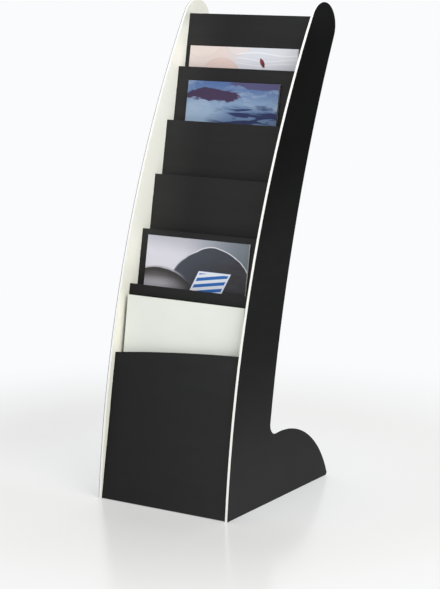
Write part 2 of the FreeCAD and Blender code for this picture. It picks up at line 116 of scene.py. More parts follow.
class PrintSettings(bpy.types.PropertyGroup):
    page_pitch: length("Page pitch", "Distance from one page to the next", 0.00016)
    stray: length("Stray", "How far single pages stray from the stack", 0.0004)
    curl: length("Curl", "How far a cover's open corner curls away", 0.0004)
    seed: IntProperty(name="Seed", description="Order of the stray pages", default=7, min=0)
    cover_sheet: length("Cover sheet", "Thickness of a brochure's cover", 0.00035)
    card: length("Card", "Thickness of the folder's card", 0.0005)
    fold_radius: length("Fold radius", "Largest radius of a cover's folded corners", 0.0011)
    card_margin: length("Card margin", "Sheets in the folder to its open edges", 0.005)
    gloss: share("Gloss", "Roughness of the printed covers", 0.32)
    card_cream: colour("Cream card", "The folder", (0.780, 0.803, 0.746))
    paper_white: colour("Paper white", "Pages", (0.92, 0.92, 0.91))
    dark_paper: colour("Dark paper", "Pages of the booklet", (0.004, 0.006, 0.016))


class StudioSettings(bpy.types.PropertyGroup):
    floor_grey: colour("Floor", "The floor near the holder", (0.660, 0.662, 0.640))
    backdrop: colour("Backdrop", "What the camera sees behind the holder", (0.955, 0.965, 0.98))
    sky: FloatProperty(name="Sky", description="Strength of the even light from all sides",
                       default=0.68, min=0.0)
    key_power: FloatProperty(name="Key lamp", description="Power of the large lamp at the right",
                             default=79.0, min=0.0, unit="POWER")
    top_power: FloatProperty(name="Top lamp", description="Power of the wide lamp overhead",
                             default=36.0, min=0.0, unit="POWER")
    back_sky: FloatProperty(name="Back sky", description="Further strength of the light from the back left",
                            default=0.60, min=0.0)
    azimuth: FloatProperty(name="Azimuth", description="Camera's turn round the holder",
                           default=math.radians(32.324), subtype="ANGLE", unit="ROTATION")
    elevation: FloatProperty(name="Elevation", description="Camera's height angle",
                             default=math.radians(10.856), subtype="ANGLE", unit="ROTATION")
    lens: FloatProperty(name="Lens", description="Focal length for a 36 mm sensor", default=116.13,
                        unit="CAMERA")
    place: FloatVectorProperty(name="Camera place", description="Where the camera stands",
                               default=(1.6149, -2.5434, 0.8972), subtype="TRANSLATION", unit="LENGTH")


def settings(part):
    return getattr(bpy.context.scene, f"holder_{part}")


# Node trees


def add_node(tree, kind, links=None, **options):
    """A node with its options set. Each link is a socket to join or a plain value."""
    node = tree.nodes.new(kind)
    for name, option in options.items():
        setattr(node, name, option)
    for name, source in (links or {}).items():
        if isinstance(source, Field):
            source = source.socket
        if isinstance(source, bpy.types.NodeSocket):
            tree.links.new(source, node.inputs[name])
        else:
            node.inputs[name].default_value = source
    return node


class Field:
    """A number that varies over a surface. Arithmetic on it adds Math nodes."""

    def __init__(self, tree, socket):
        self.tree, self.socket = tree, socket

    def apply(self, operation, *others, clamp=False):
        sources = {0: self, **dict(enumerate(others, start=1))}
        node = add_node(self.tree, "ShaderNodeMath", sources, operation=operation, use_clamp=clamp)
        return Field(self.tree, node.outputs[0])

    def __add__(self, other):
        return self.apply("ADD", other)

    def __sub__(self, other):
        return self.apply("SUBTRACT", other)

    def __mul__(self, other):
        return self.apply("MULTIPLY", other)

    def __pow__(self, other):
        return self.apply("POWER", other)

    def sine(self):
        return self.apply("SINE")

    def step(self, low, high):
        """0 below low and 1 above high, or the other way round where low is the larger."""
        links = {"Value": self, "From Min": low, "From Max": high}
        node = add_node(self.tree, "ShaderNodeMapRange", links, interpolation_type="SMOOTHSTEP")
        return Field(self.tree, node.outputs[0])

    def spread(self, low, high):
        """From low where this is 0 to high where it is 1."""
        node = add_node(self.tree, "ShaderNodeMapRange", {"Value": self, "To Min": low, "To Max": high})
        return Field(self.tree, node.outputs[0])


def blend(tree, factor, first, second, way="MIX"):
    """Two colours mixed. Each is a socket or three numbers."""
    links = {0: factor}
    for index, source in ((6, first), (7, second)):
        links[index] = source if isinstance(source, bpy.types.NodeSocket) else (*source, 1.0)
    return add_node(tree, "ShaderNodeMix", links, data_type="RGBA", blend_type=way).outputs[2]


def noise(tree, place, scale, detail=2.0, roughness=0.5, distortion=0.0):
    links = {"Vector": place, "Scale": scale, "Detail": detail, "Roughness": roughness,
             "Distortion": distortion}
    return Field(tree, add_node(tree, "ShaderNodeTexNoise", links).outputs[0])


def scaled(base, factor):
    """A colour made deeper or paler by a factor."""
    return [value * factor for value in base]


def stretched(tree, place, factors):
    """Coordinates multiplied along each axis."""
    return add_node(tree, "ShaderNodeMapping", {"Vector": place, "Scale": factors}).outputs[0]


def new_material(name, ior=1.5, **constants):
    """A material, its tree, its shader and its object coordinates. The constants are set on the shader."""
    finish = bpy.data.materials.new(name)
    finish.use_nodes = True
    tree = finish.node_tree
    shader = tree.nodes["Principled BSDF"]
    shader.inputs["IOR"].default_value = ior
    for label, value in constants.items():
        shader.inputs[label.replace("_", " ").title()].default_value = value
    place = add_node(tree, "ShaderNodeTexCoord").outputs["Object"]
    return finish, tree, shader, place


def wire(tree, shader, tint, roughness, height, strength, distance):
    """Joins colour, roughness and bump to the shader."""
    tree.links.new(tint, shader.inputs["Base Color"])
    tree.links.new(roughness.socket, shader.inputs["Roughness"])
    bump = add_node(tree, "ShaderNodeBump", {"Strength": strength, "Distance": distance, "Height": height})
    tree.links.new(bump.outputs[0], shader.inputs["Normal"])


# Materials


def black_board(name, base, ior, painted_foot_light, shade):
    """Fine-textured black: faint mottling, a pebbled grain, paler worn edges and a foot made patchily paler
    by painted light from the floor.

    shade gets the place across the holder and the height, and gives the painted light and shade that deepen
    or pale the black there.
    """
    board = settings("board")
    finish, tree, shader, place = new_material(name, ior=ior)
    grain = noise(tree, place, 1.0 / board.grain, detail=3.0, roughness=0.55)
    mottle = noise(tree, stretched(tree, place, (7.0, 7.0, 60.0)), 1.0, detail=4.0, roughness=0.6)
    rubbed = noise(tree, stretched(tree, place, (34.0, 12.0, 7.0)), 1.0, detail=5.0, roughness=0.65)
    tint = blend(tree, mottle.step(0.3, 0.7), scaled(base, 0.91), scaled(base, 1.11))
    tint = blend(tree, grain.step(0.62, 0.8) * 0.35, tint, scaled(base, 2.4))
    parts = add_node(tree, "ShaderNodeSeparateXYZ", {0: place}).outputs
    across, height = Field(tree, parts[0]), Field(tree, parts[2])
    # Painted light and shade: the black is deepened or paled by place.
    tint = blend(tree, 1.0, tint, shade(across, height).socket, "MULTIPLY")
    worn = Field(tree, add_node(tree, "ShaderNodeAttribute", attribute_name="edge").outputs["Fac"])
    tint = blend(tree, worn * rubbed.step(0.35, 0.75) * 0.6, tint, [value * 4.5 + 0.012 for value in base])
    # Painted light from the floor: the black is made patchily paler towards the foot.
    foot = height.step(board.painted_foot_height, 0.0) * (rubbed.spread(0.7, 1.3) * painted_foot_light)
    tint = blend(tree, foot, tint, scaled(base, 3.45))
    roughness = (rubbed.spread(-0.07, 0.09) + grain.spread(-0.03, 0.03)) + board.black_roughness
    wire(tree, shader, tint, roughness, grain, 0.22, board.grain * 0.16)
    return finish


def laminate_painted_shade(across, height):
    """Painted shade: the side boards' black is made deepest high up, and a little less deep again at the
    head.
    """
    return height.step(0.36, 0.58).spread(1.0, 0.15) + height.step(0.72, 0.77) * 0.25


def panel_painted_light(across, height):
    """Painted light and shade: the panels' black is made paler towards the right and higher up, and a painted
    reflection of the ivory faces pales the left ends of the upper panels.
    """
    rise = across * 4.4 + height.step(0.15, 0.35).spread(0.84, 1.12)
    return rise + across.step(-0.030, -0.125) * height.step(0.33, 0.42) * 1.7


def ivory_laminate():
    """Warm satin sheet with the faintest waviness and hairline scuffs, with painted shade over its head and a
    warmer painted shade on its lower part.
    """
    board = settings("board")
    base = list(board.ivory)
    finish, tree, shader, place = new_material("ivory_laminate", ior=1.42)
    cloud = noise(tree, place, 6.0, detail=3.0)
    fine = noise(tree, place, 700.0, detail=2.0)
    scuff = noise(tree, stretched(tree, place, (20.0, 260.0, 18.0)), 1.0, detail=4.0, roughness=0.7)
    tint = blend(tree, cloud.step(0.3, 0.7), scaled(base, 0.975), scaled(base, 1.02))
    tint = blend(tree, scuff.step(0.66, 0.8) * 0.25, tint, scaled(base, 0.88))
    height = Field(tree, add_node(tree, "ShaderNodeSeparateXYZ", {0: place}).outputs[2])
    # Painted shade over the head of the ivory faces.
    painted_head_shade = (height + cloud * 0.02).step(board.painted_shade_height, board.painted_shade_height + 0.03)
    tint = blend(tree, painted_head_shade, tint, scaled(base, 0.73))
    # Painted shade, a little yellow: the ivory faces are made darker towards the foot, beside the folder.
    tint = blend(tree, height.step(0.46, 0.32), tint, [base[0] * 0.90, base[1] * 0.895, base[2] * 0.865])
    wire(tree, shader, tint, scuff.spread(0.34, 0.5), fine * 0.6 + cloud, 0.12, 0.0003)
    return finish


def white_core():
    """Cut edge of a white foam board: closed cells and faint cutting marks."""
    board = settings("board")
    base = list(board.core_white)
    finish, tree, shader, place = new_material("white_core", ior=1.40)
    cells = Field(tree, add_node(tree, "ShaderNodeTexVoronoi", {"Vector": place, "Scale": 2600.0}).outputs[0])
    marks = noise(tree, stretched(tree, place, (900.0, 160.0, 160.0)), 1.0, detail=3.0)
    tint = blend(tree, cells.step(0.1, 0.7), scaled(base, 0.96), base)
    tint = blend(tree, marks.step(0.6, 0.8) * 0.3, tint, scaled(base, 0.9))
    wire(tree, shader, tint, marks.spread(0.5, 0.68), cells + marks, 0.18, 0.00012)
    return finish


def paper(name, base, ior):
    """Page edges and blank sheets, with soft fibres."""
    finish, tree, shader, place = new_material(name, ior=ior)
    fibre = noise(tree, stretched(tree, place, (500.0, 500.0, 1400.0)), 1.0, detail=3.0, roughness=0.6)
    tint = blend(tree, fibre.step(0.35, 0.7), scaled(base, 0.94), base)
    wire(tree, shader, tint, fibre.spread(0.62, 0.78), fibre, 0.15, 0.00008)
    return finish


def cream_card():
    """Uncoated card with a felt finish."""
    base = list(settings("print").card_cream)
    finish, tree, shader, place = new_material("cream_card", ior=1.42)
    felt = noise(tree, place, 900.0, detail=4.0, roughness=0.6)
    cloud = noise(tree, place, 14.0, detail=2.0)
    tint = blend(tree, cloud.step(0.3, 0.7), scaled(base, 0.98), scaled(base, 1.015))
    tint = blend(tree, felt.step(0.55, 0.75) * 0.3, tint, scaled(base, 0.955))
    wire(tree, shader, tint, felt.spread(0.48, 0.62), felt, 0.14, 0.0001)
    return finish


def printed(name, draw):
    """A glossy printed cover. draw gets the tree and the distances from the fold and from the foot."""
    finish, tree, shader, place = new_material(name, ior=1.36)
    sheet = add_node(tree, "ShaderNodeUVMap", uv_map=SHEET_MAP).outputs[0]
    parts = add_node(tree, "ShaderNodeSeparateXYZ", {0: sheet})
    across, up = Field(tree, parts.outputs[0]), Field(tree, parts.outputs[1])
    fine = noise(tree, place, 1500.0, detail=2.0)
    tint = blend(tree, fine.step(0.4, 0.7) * 0.02, draw(tree, sheet, across, up), (0.8, 0.8, 0.8))
    wire(tree, shader, tint, fine.spread(-0.04, 0.05) + settings("print").gloss, fine, 0.05, 0.00005)
    return finish


def disc(tree, sheet, centre, radius, soft):
    """1 inside a circle on the sheet and 0 outside it, with a soft rim."""
    away = add_node(tree, "ShaderNodeVectorMath", {0: sheet, 1: (*centre, 0.0)}, operation="DISTANCE")
    return Field(tree, away.outputs["Value"]).step(radius + soft, radius - soft)


def band(field, middle, half, soft=0.00025):
    """1 where the field is within half of the middle and 0 elsewhere."""
    return (field - middle).apply("ABSOLUTE").step(half + soft, half - soft)


def pale_cover(tree, sheet, across, up):
    """Blush petals at the left, cool grey with two pale ribbons at the right, and a dark red leaf."""
    haze = noise(tree, stretched(tree, sheet, (11.0, 24.0, 1.0)), 1.0, detail=3.0, distortion=0.5)
    tint = blend(tree, across.step(0.062, 0.112), (0.78, 0.66, 0.625), (0.695, 0.71, 0.775))
    tint = blend(tree, haze.step(0.45, 0.75) * 0.45, tint, (0.82, 0.80, 0.82))
    for centre, radius, ink in (((0.024, 0.236), 0.046, (0.80, 0.70, 0.66)),
                                ((0.064, 0.150), 0.042, (0.77, 0.60, 0.55)),
                                ((0.094, 0.222), 0.026, (0.79, 0.72, 0.71))):
        inside = disc(tree, sheet, centre, radius, 0.0006)
        rim = disc(tree, sheet, centre, radius - 0.0012, 0.0009)
        tint = blend(tree, inside * 0.55, tint, scaled(ink, 0.80))
        tint = blend(tree, rim * 0.85, tint, ink)
    for rise, turn, half in ((0.2000, 0.4, 0.0011), (0.1905, 2.3, 0.0008), (0.1835, 3.4, 0.0006)):
        wave = up - (across * 58.0 + turn).sine() * 0.0021
        ribbon = band(wave, rise, half) * across.step(0.085, 0.100) * 0.75
        tint = blend(tree, ribbon, tint, (0.86, 0.87, 0.90))
    lower, upper = (disc(tree, sheet, centre, 0.0130, 0.0005)
                    for centre in ((0.133, 0.1810), (0.1490, 0.1905)))
    leaf = lower * upper
    ink = blend(tree, across.step(0.136, 0.146), (0.26, 0.030, 0.045), (0.085, 0.010, 0.020))
    return blend(tree, leaf, tint, ink)


def blue_cover(tree, sheet, across, up):
    """Evening haze over water: ragged plum clouds at the left and top, mist and dark ripples at the right."""
    drift, torn, ripple = (
        noise(tree, stretched(tree, sheet, (*grain, 1.0)), 1.0, detail, roughness, distortion)
        for grain, detail, roughness, distortion in (
            ((17.0, 40.0), 6.0, 0.60, 0.6), ((45.0, 110.0), 6.0, 0.65, 0.4), ((20.0, 110.0), 4.0, 0.55, 0.5)))
    level = up + (drift - 0.5) * 0.034
    tint = blend(tree, level.step(0.186, 0.238), (0.29, 0.405, 0.555), (0.070, 0.135, 0.315))
    tint = blend(tree, drift.step(0.50, 0.66) * 0.55, tint, (0.37, 0.46, 0.59))
    for x, y, wide, tall, ink in ((0.138, 0.2385, 0.060, 0.0085, (0.070, 0.065, 0.16)),
                                  (0.050, 0.2190, 0.064, 0.0110, (0.040, 0.020, 0.066))):
        away = ((across - x) * (1 / wide)) ** 2.0 + ((up - y) * (1 / tall)) ** 2.0
        cloud = away + (drift - 0.5) * 3.4 + (torn - 0.5) * 2.2
        tint = blend(tree, cloud.step(1.05, 0.70), tint, ink)
    shore = across - level.apply("MULTIPLY_ADD", -0.9, 0.183).apply("MAXIMUM", 0.0).apply("MULTIPLY", -1.0)
    shade = level.step(0.2080, 0.1960) * (shore + (drift - 0.5) * 0.06).step(0.050, 0.105)
    tint = blend(tree, shade * 0.7, tint, (0.050, 0.11, 0.27))
    return blend(tree, shade * ripple.step(0.45, 0.55), tint, (0.010, 0.020, 0.090))


def hill(across, up, middle, wide, tall, rough):
    """Distance from the middle of a hill's foot, 1 on its rim."""
    ground = 0.140
    x, y = (across - middle) * (1 / wide), (up - ground).apply("MAXIMUM", 0.0) * (1 / tall)
    return (x * x + y * y) ** 0.5 + rough


def grey_cover(tree, sheet, across, up):
    """Two dark hills, the far one with a pale crest, a lilac sky and a leaning block of blue bands."""
    soft = noise(tree, stretched(tree, sheet, (13.0, 30.0, 1.0)), 1.0, detail=4.0, distortion=0.4)
    fold = noise(tree, stretched(tree, sheet, (26.0, 90.0, 1.0)), 1.0,
                 detail=4.0, roughness=0.6, distortion=0.6)
    tint = blend(tree, across.step(0.06, 0.18), (0.68, 0.67, 0.75), (0.14, 0.175, 0.205))
    tint = blend(tree, (up + across * 0.10).step(0.228, 0.262) * 0.45, tint, (0.22, 0.24, 0.28))
    far = hill(across, up, 0.128, 0.092, 0.103, (soft - 0.5) * 0.10)
    crest = blend(tree, across.step(0.055, 0.095), (0.16, 0.17, 0.21), (0.66, 0.66, 0.71))
    tint = blend(tree, far.step(1.0, 0.994), tint, crest)
    slope = blend(tree, (across * 0.5 - up).step(-0.19, -0.10), (0.042, 0.050, 0.070), (0.022, 0.017, 0.019))
    slope = blend(tree, soft.step(0.4, 0.7) * 0.45, slope, (0.062, 0.070, 0.092))
    tint = blend(tree, far.step(0.984, 0.976), tint, slope)
    near = hill(across, up, 0.030, 0.078, 0.064, (soft - 0.5) * 0.16)
    tint = blend(tree, near.step(1.06, 1.0) * across.step(0.085, 0.05), tint, (0.40, 0.39, 0.44))
    rock = blend(tree, near.step(0.98, 0.66), (0.030, 0.027, 0.027), (0.16, 0.155, 0.16))
    mist = up.step(0.192, 0.178) * up.step(0.132, 0.160) * across.step(0.075, 0.030)
    rock = blend(tree, mist * fold.spread(0.5, 1.0), rock, (0.46, 0.45, 0.50))
    tint = blend(tree, near.step(1.0, 0.992), tint, rock)
    ground = blend(tree, fold.step(0.45, 0.65) * 0.7, (0.022, 0.025, 0.034), (0.050, 0.056, 0.074))
    tint = blend(tree, (up + (soft - 0.5) * 0.05).step(0.166, 0.132), tint, ground)
    lean = across - up * 0.45
    rim, card, inside = (band(lean, 0.0415, 0.0310 - inset) * band(up, 0.1850, 0.0205 - inset)
                         for inset in (0.0, 0.0009, 0.0040))
    tint = blend(tree, rim, tint, (0.020, 0.045, 0.150))
    tint = blend(tree, card, tint, (0.76, 0.79, 0.86))
    bands = ((up - across * 0.16) * 620.0).sine().step(-0.10, 0.10)
    return blend(tree, inside * bands, tint, (0.012, 0.130, 0.460))


def backdrop_seen(tree):
    """1 for rays from the camera, mirrors and glass, and 0 for the rays that light the object."""
    rays = add_node(tree, "ShaderNodeLightPath").outputs
    seen = Field(tree, rays["Is Camera Ray"])
    return seen.apply("MAXIMUM", rays["Is Glossy Ray"]).apply("MAXIMUM", rays["Is Transmission Ray"])


MATERIALS = {}


def material(name):
    """The named finish, made when it is first asked for."""
    board, matter = settings("board"), settings("print")
    makers = {
        "black_laminate": lambda: black_board(
            "black_laminate", list(board.laminate_black), ior=1.09, painted_foot_light=0.9, shade=laminate_painted_shade),
        "black_panel": lambda: black_board(
            "black_panel", list(board.panel_black), ior=1.30, painted_foot_light=0.0, shade=panel_painted_light),
        "ivory_laminate": ivory_laminate,
        "white_core": white_core,
        "page_paper": lambda: paper("page_paper", list(matter.paper_white), ior=1.4),
        "dark_paper": lambda: paper("dark_paper", list(matter.dark_paper), ior=1.1),
        "cream_card": cream_card,
        "pale_cover": lambda: printed("pale_cover", pale_cover),
        "blue_cover": lambda: printed("blue_cover", blue_cover),
        "grey_cover": lambda: printed("grey_cover", grey_cover),
    }
    if name not in MATERIALS:
        MATERIALS[name] = makers[name]()
    return MATERIALS[name]


# Geometry node trees


def new_tree(name, sockets):
    """A geometry tree with the named inputs, its input node and its output node."""
    tree = bpy.data.node_groups.new(name, "GeometryNodeTree")
    tree.interface.new_socket("Geometry", in_out="OUTPUT", socket_type="NodeSocketGeometry")
    for label, kind in sockets:
        tree.interface.new_socket(label, in_out="INPUT", socket_type=f"NodeSocket{kind}")
    return tree, tree.nodes.new("NodeGroupInput").outputs, tree.nodes.new("NodeGroupOutput")


def finish_tree(tree, output, geometry, given):
    """Leans and places the geometry, then makes it real and gives it its material."""
    turn = add_node(tree, "ShaderNodeCombineXYZ", {"X": given["Turn"]}).outputs[0]
    placed = add_node(tree, "GeometryNodeTransform", {"Geometry": geometry, "Rotation": turn,
                                                      "Translation": given["Place"]}).outputs[0]
    real = add_node(tree, "GeometryNodeRealizeInstances", {"Geometry": placed}).outputs[0]
    dressed = add_node(tree, "GeometryNodeSetMaterial", {"Geometry": real, "Material": given["Material"]})
    tree.links.new(dressed.outputs[0], output.inputs[0])


def board_tree(tabs):
    """A board with tabs on both ends, drawn upright: its front face on Y 0, from Start upwards."""
    middles = [f"Tab {number} Middle" for number in range(1, tabs + 1)]
    tree, given, output = new_tree(f"tabbed_board_{tabs}", [
        ("Half Width", "Float"), ("Tab Reach", "Float"), ("Start", "Float"), ("Length", "Float"),
        ("Thickness", "Float"), ("Tab Length", "Float"), *((label, "Float") for label in middles),
        ("Turn", "Float"), ("Place", "Vector"), ("Material", "Material")])
    columns, rows = 3, 2 * tabs + 1
    grid = add_node(tree, "GeometryNodeMeshGrid", {"Size X": 1.0, "Size Y": 1.0, "Vertices X": columns + 1,
                                                   "Vertices Y": rows + 1}).outputs[0]
    spot = add_node(tree, "ShaderNodeSeparateXYZ",
                    {0: add_node(tree, "GeometryNodeInputPosition").outputs[0]})
    column = (Field(tree, spot.outputs[0]) + 0.5) * columns
    row = (Field(tree, spot.outputs[1]) + 0.5) * rows
    outer = (column.apply("FLOOR") - 1.0).apply("ABSOLUTE")
    plain = (row.apply("FLOOR") + 1.0).apply("MODULO", 2.0)
    kept = add_node(tree, "GeometryNodeDeleteGeometry", {"Geometry": grid, "Selection": outer * plain},
                    domain="FACE").outputs[0]

    def choose(index, values):
        node = add_node(tree, "GeometryNodeIndexSwitch", data_type="FLOAT")
        while len(node.index_switch_items) < len(values):
            node.index_switch_items.new()
        tree.links.new(index.apply("ROUND").socket, node.inputs[0])
        for socket, value in zip(node.inputs[1:], values):
            tree.links.new(value.socket, socket)
        return node.outputs[0]

    half, reach = Field(tree, given["Half Width"]), Field(tree, given["Tab Reach"])
    start, tab = Field(tree, given["Start"]), Field(tree, given["Tab Length"])
    levels = [start]
    for label in middles:
        middle = start + Field(tree, given[label])
        levels += [middle - tab * 0.5, middle + tab * 0.5]
    levels.append(start + Field(tree, given["Length"]))
    target = add_node(tree, "ShaderNodeCombineXYZ", {
        "X": choose(column, [reach * -1.0, half * -1.0, half, reach]), "Z": choose(row, levels)}).outputs[0]
    front = add_node(tree, "GeometryNodeSetPosition", {"Geometry": kept, "Position": target}).outputs[0]
    depth = add_node(tree, "ShaderNodeCombineXYZ", {"Y": given["Thickness"]}).outputs[0]
    back = add_node(tree, "GeometryNodeFlipFaces", {"Mesh": front}).outputs[0]
    thick = add_node(tree, "GeometryNodeExtrudeMesh", {"Mesh": back, "Offset": depth, "Offset Scale": 1.0,
                                                       "Individual": False}).outputs[0]
    joined = add_node(tree, "GeometryNodeJoinGeometry")
    tree.links.new(thick, joined.inputs[0])
    tree.links.new(front, joined.inputs[0])
    closed = add_node(tree, "GeometryNodeMergeByDistance", {"Geometry": joined.outputs[0],
                                                            "Distance": MERGE_DISTANCE}).outputs[0]
    finish_tree(tree, output, closed, given)
    return tree


def page_tree():
    """A stack of thin sheets, each a little astray from the last."""
    tree, given, output = new_tree("page_stack", [
        ("Left", "Float"), ("Width", "Float"), ("Height", "Float"), ("Front", "Float"), ("Depth", "Float"),
        ("Sheets", "Int"), ("Stray", "Float"), ("Seed", "Int"), ("Turn", "Float"), ("Place", "Vector"),
        ("Material", "Material")])
    width, height, depth = (Field(tree, given[label]) for label in ("Width", "Height", "Depth"))
    pitch = depth.apply("DIVIDE", given["Sheets"])
    sheet_share = 0.82
    size = add_node(tree, "ShaderNodeCombineXYZ", {"X": width, "Y": pitch * sheet_share,
                                                   "Z": height}).outputs[0]
    sheet = add_node(tree, "GeometryNodeMeshCube", {"Size": size}).outputs[0]
    first = add_node(tree, "ShaderNodeCombineXYZ", {
        "X": Field(tree, given["Left"]) + width * 0.5, "Y": Field(tree, given["Front"]) + pitch * 0.5,
        "Z": height * 0.5}).outputs[0]
    step = add_node(tree, "ShaderNodeCombineXYZ", {"Y": pitch}).outputs[0]
    line = add_node(tree, "GeometryNodeMeshLine", {"Count": given["Sheets"], "Start Location": first,
                                                   "Offset": step}).outputs[0]
    stray = Field(tree, given["Stray"])
    # A page drops by half as much at most, which is less than the gap under it.
    inward = add_node(tree, "ShaderNodeCombineXYZ", {"X": stray * -1.0, "Z": stray * -0.5}).outputs[0]
    shift = add_node(tree, "FunctionNodeRandomValue", {"Min": inward, "Max": (0.0, 0.0, 0.0),
                                                       "Seed": given["Seed"]}, data_type="FLOAT_VECTOR")
    astray = add_node(tree, "GeometryNodeSetPosition", {"Geometry": line,
                                                        "Offset": shift.outputs[0]}).outputs[0]
    stack = add_node(tree, "GeometryNodeInstanceOnPoints", {"Points": astray, "Instance": sheet}).outputs[0]
    finish_tree(tree, output, stack, given)
    return tree


# Meshes


def show(name, mesh, body, slot, *nodes):
    """A finished piece at the origin that rides on a body and stands for its nodes."""
    piece = bpy.data.objects.new(name, mesh)
    bpy.context.scene.collection.objects.link(piece)
    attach(piece, body)
    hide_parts(*nodes)


def evaluated_mesh(name, mesh, tree=None, inputs=None, rounding=0.0):
    """The plain mesh that a geometry tree and a bevel make of a mesh."""
    maker = bpy.data.objects.new(f"{name}_maker", mesh)
    bpy.context.scene.collection.objects.link(maker)
    if tree:
        modifier = maker.modifiers.new("Build", "NODES")
        modifier.node_group = tree
        for socket in tree.interface.items_tree:
            if socket.in_out == "INPUT":
                modifier[socket.identifier] = inputs[socket.name]
    if rounding:
        bevel = maker.modifiers.new("Edges", "BEVEL")
        bevel.width, bevel.segments, bevel.limit_method = rounding, EDGE_SEGMENTS, "ANGLE"
        bevel.angle_limit, bevel.harden_normals = EDGE_ANGLE, True
    graph = bpy.context.evaluated_depsgraph_get()
    made = bpy.data.meshes.new_from_object(maker.evaluated_get(graph), preserve_all_data_layers=True,
                                           depsgraph=graph)
    maker.modifiers.clear()
    bpy.data.objects.remove(maker)
    made.name = name
    return made


def mark_edges(mesh):
    """Marks the vertices that only small faces meet, which are those of rounded edges, for the worn look."""
    largest = [0.0] * len(mesh.vertices)
    for polygon in mesh.polygons:
        for vertex in polygon.vertices:
            largest[vertex] = max(largest[vertex], polygon.area)
    edge = mesh.attributes.new("edge", "FLOAT", "POINT")
    edge.data.foreach_set("value", [1.0 if area < ROUNDED_FACE_AREA else 0.0 for area in largest])


def merged_copy(node):
    """A copy of a node's mesh with its doubles merged and its flat faces joined."""
    build = bmesh.new()
    build.from_mesh(frame["nodes"][node].data)
    bmesh.ops.remove_doubles(build, verts=build.verts, dist=MERGE_DISTANCE)
    bmesh.ops.dissolve_limit(build, angle_limit=FLAT_ANGLE, verts=build.verts, edges=build.edges)
    mesh = bpy.data.meshes.new(node)
    build.to_mesh(mesh)
    build.free()
    mesh.materials.clear()
    return mesh


def upright_place(node, lean):
    """Top front edge, length and thickness of a leaned plate, from its node's box."""
    low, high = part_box(node)
    sine, cosine = math.sin(lean), math.cos(lean)
    deep, tall = high.y - low.y, high.z - low.z
    size = (tall * cosine - deep * sine) / (cosine ** 2 - sine ** 2)
    thickness = (deep * cosine - tall * sine) / (cosine ** 2 - sine ** 2)
    return Vector((0.0, high.y - thickness * cosine, high.z)), size, thickness


def flat_place(node, lean):
    """Top front edge, depth and thickness of a floor that lies square to a lean, from its node's box."""
    low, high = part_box(node)
    sine, cosine = math.sin(lean), math.cos(lean)
    deep, tall = high.y - low.y, high.z - low.z
    size = (deep * cosine - tall * sine) / (cosine ** 2 - sine ** 2)
    thickness = (tall * cosine - deep * sine) / (cosine ** 2 - sine ** 2)
    return Vector((0.0, low.y + thickness * sine, high.z)), size, thickness


def folded_sheet(name, width, height, thickness, sheet, radius, curl):
    """A folded cover with its fold on the left at X 0 and its front at Y 0. Its open front corner curls."""
    corner_steps, flat_steps, rows = 6, 22, 24
    crowding, curl_power, foot_share = 1.6, 2.2, 0.25
    radius = min(radius, thickness / 2)
    middle = radius - sheet / 2
    turn = [math.pi / 2 * step / corner_steps for step in range(corner_steps + 1)]
    flat = [1 - (1 - step / flat_steps) ** crowding for step in range(flat_steps + 1)]
    profile = [(width - (width - radius) * part, thickness - sheet / 2, 0.0, 1.0) for part in flat]
    profile += [(radius - middle * math.sin(angle), thickness - radius + middle * math.cos(angle),
                 -math.sin(angle), math.cos(angle)) for angle in turn[1:]]
    profile += [(radius - middle * math.cos(angle), radius - middle * math.sin(angle),
                 -math.cos(angle), -math.sin(angle)) for angle in turn]
    profile += [(radius + (width - radius) * (1 - part), sheet / 2, 0.0, -1.0)
                for part in reversed(flat[:-1])]
    along = [0.0]
    for (x1, y1, *_), (x2, y2, *_) in zip(profile, profile[1:]):
        along.append(along[-1] + math.hypot(x2 - x1, y2 - y1))
    fold = (along[flat_steps] + along[-flat_steps - 1]) / 2
    front = len(profile) - flat_steps - 1
    build = bmesh.new()
    spread = build.loops.layers.uv.new(SHEET_MAP)
    sides = []
    for side in (1, -1):
        grid = []
        for row in range(rows + 1):
            up = row / rows
            line = []
            for index, (x, y, nx, ny) in enumerate(profile):
                part = max(0.0, (x - radius) / (width - radius)) if index > front else 0.0
                lift = curl * part ** curl_power * (foot_share + (1 - foot_share) * up ** 2)
                line.append(build.verts.new((x + side * nx * sheet / 2, y + side * ny * sheet / 2 - lift,
                                             height * up)))
            grid.append(line)
        sides.append(grid)

    def face(corners, kind, marks=None):
        made = build.faces.new(corners)
        made.material_index, made.smooth = kind, True
        if marks:
            for loop, mark in zip(made.loops, marks):
                loop[spread].uv = mark

    outer, inner = sides
    for row in range(rows):
        low, high = height * row / rows, height * (row + 1) / rows
        for index in range(len(profile) - 1):
            one, two = along[index] - fold, along[index + 1] - fold
            face([outer[row][index], outer[row + 1][index], outer[row + 1][index + 1],
                  outer[row][index + 1]], 0, [(one, low), (one, high), (two, high), (two, low)])
            face([inner[row][index], inner[row][index + 1], inner[row + 1][index + 1],
                  inner[row + 1][index]], 1)
        face([outer[row][0], inner[row][0], inner[row + 1][0], outer[row + 1][0]], 1)
        face([outer[row][-1], outer[row + 1][-1], inner[row + 1][-1], inner[row][-1]], 1)
    for index in range(len(profile) - 1):
        face([outer[0][index], outer[0][index + 1], inner[0][index + 1], inner[0][index]], 1)
        face([outer[-1][index], inner[-1][index], inner[-1][index + 1], outer[-1][index + 1]], 1)
    mesh = bpy.data.meshes.new(name)
    build.to_mesh(mesh)
    build.free()
    mesh.set_sharp_from_angle(angle=SHARP_ANGLE)
    return mesh


# Operators


